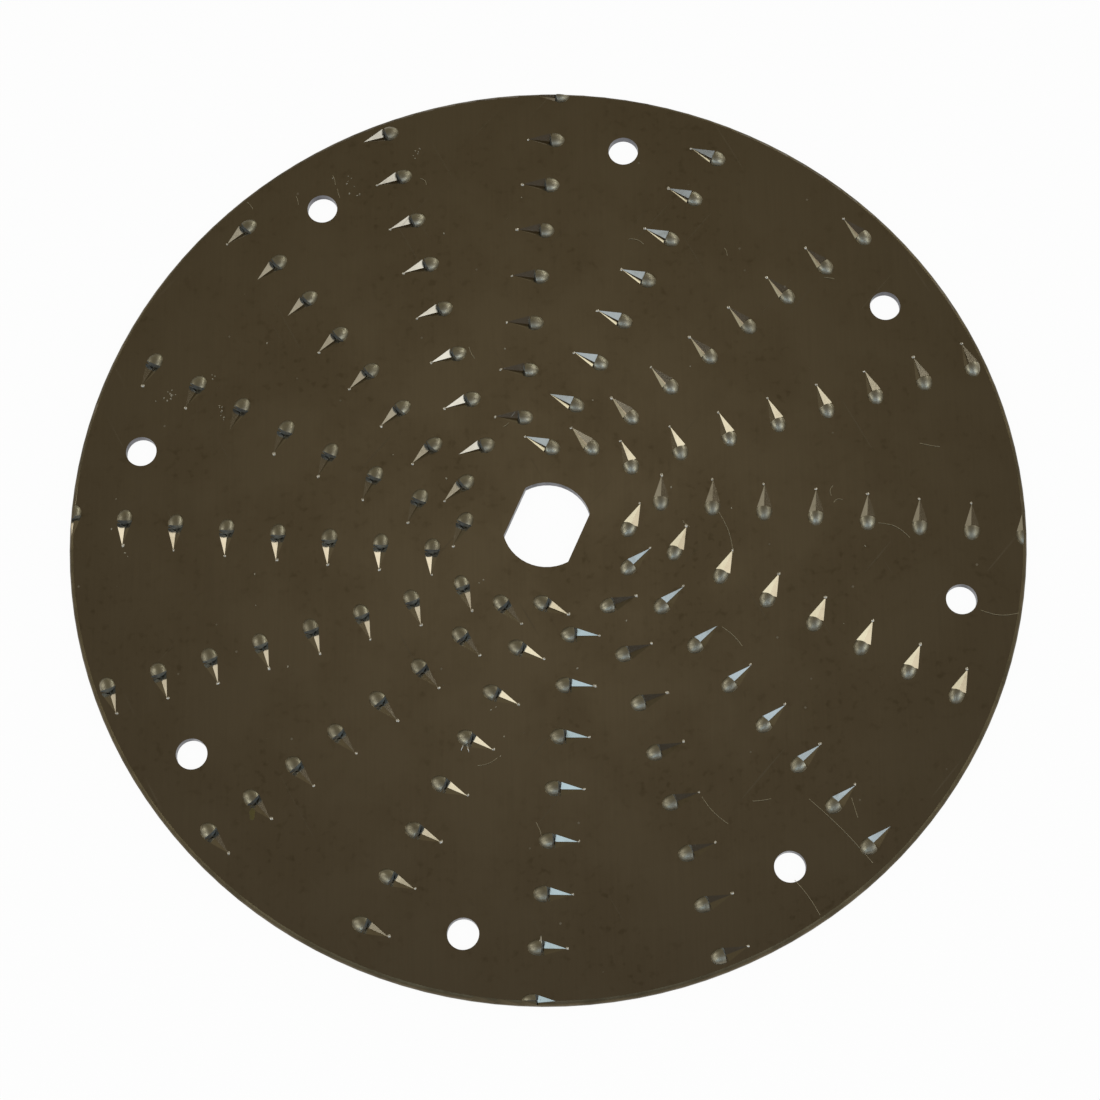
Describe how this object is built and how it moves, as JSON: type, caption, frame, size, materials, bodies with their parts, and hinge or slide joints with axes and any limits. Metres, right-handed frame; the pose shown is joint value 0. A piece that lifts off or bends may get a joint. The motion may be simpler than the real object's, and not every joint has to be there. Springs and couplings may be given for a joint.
{
  "type": "food processor grating disc",
  "caption": "Flat round steel grating disc with rows of struck rasp teeth, a double-D drive hole in the middle and plain holes along the rim, for pulping hard cheese, nuts or vegetables.",
  "frame": {"origin": "centre of the flat back face, on the axis of the drive hole", "axes": "+Z out of the toothed face along the disc's axis, +X and +Y across the disc, with the drive hole's flats facing 24.5 degrees clockwise of +X"},
  "size_m": [0.205, 0.205, 0.0033],
  "materials": {
    "polished_stainless": "bright rolled stainless sheet, handled, with fine scratches"
  },
  "bodies": {
    "root": {"grater_disc": "polished_stainless"}
  },
  "joints": []
}
